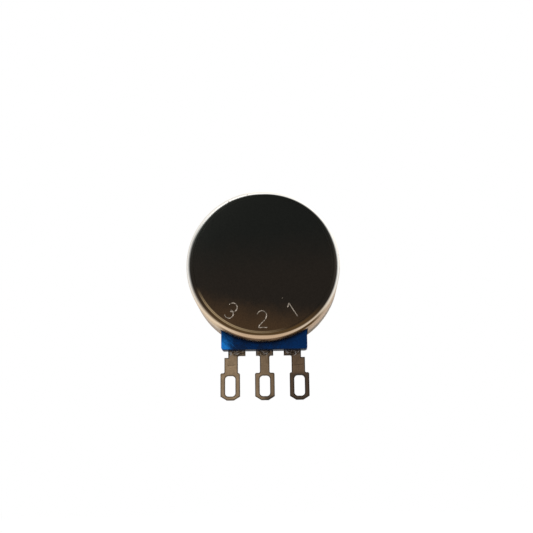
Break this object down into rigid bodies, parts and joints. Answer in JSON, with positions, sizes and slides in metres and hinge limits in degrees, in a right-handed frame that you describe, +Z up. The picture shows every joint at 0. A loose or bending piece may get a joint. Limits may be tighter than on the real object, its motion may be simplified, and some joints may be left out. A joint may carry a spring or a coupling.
{
  "type": "rotary potentiometer",
  "caption": "Panel-mounted rotary potentiometer with a round metal case, a slotted shaft, a threaded bushing and flat solder lugs.",
  "frame": {"origin": "centre of the mounting face, on the shaft's axis", "axes": "+Y along the shaft towards its tip; +Z up, away from the solder lugs; +X to the right as seen from behind the case"},
  "size_m": [0.024, 0.0399, 0.0327],
  "materials": {
    "cover_nickel": "bright nickel plate on drawn steel",
    "plate_nickel": "nickel plate on pressed steel",
    "bushing_nickel": "nickel plate on turned brass",
    "shaft_steel": "turned and plated",
    "ring_steel": "blackened spring steel",
    "washer_steel": "plated",
    "washer_nylon": "natural nylon",
    "rotor_plastic": "moulded",
    "spring_bronze": "stamped spring bronze",
    "contact_metal": "polished",
    "base_plastic": "glossy blue moulding",
    "board_laminate": "paper laminate",
    "carbon_ink": "printed carbon",
    "silver_ink": "printed silver",
    "lug_tin": "dull tin plate on brass",
    "eyelet_brass": "rolled"
  },
  "bodies": {
    "housing": {"rear_cover": "cover_nickel", "front_plate": "plate_nickel", "bushing": "bushing_nickel", "terminal_base": "base_plastic", "element_board": "board_laminate", "resistive_track": "carbon_ink", "end_electrodes": "silver_ink", "collector_track": "silver_ink", "terminal_1": "lug_tin", "terminal_2": "lug_tin", "terminal_3": "lug_tin", "eyelet_1": "eyelet_brass", "eyelet_2": "eyelet_brass", "eyelet_3": "eyelet_brass"},
    "spindle": {"shaft": "shaft_steel", "retaining_ring": "ring_steel", "ring_washer": "washer_steel", "thrust_washer": "washer_nylon", "rotor": "rotor_plastic", "wiper_spring": "spring_bronze", "wiper_contacts": "contact_metal"}
  },
  "joints": [
    {"name": "shaft_turn", "type": "hinge", "parent": "housing", "child": "spindle", "pos_m": [0, 0, 0], "axis": [0, 1, 0], "range_deg": [-150, 150]}
  ]
}
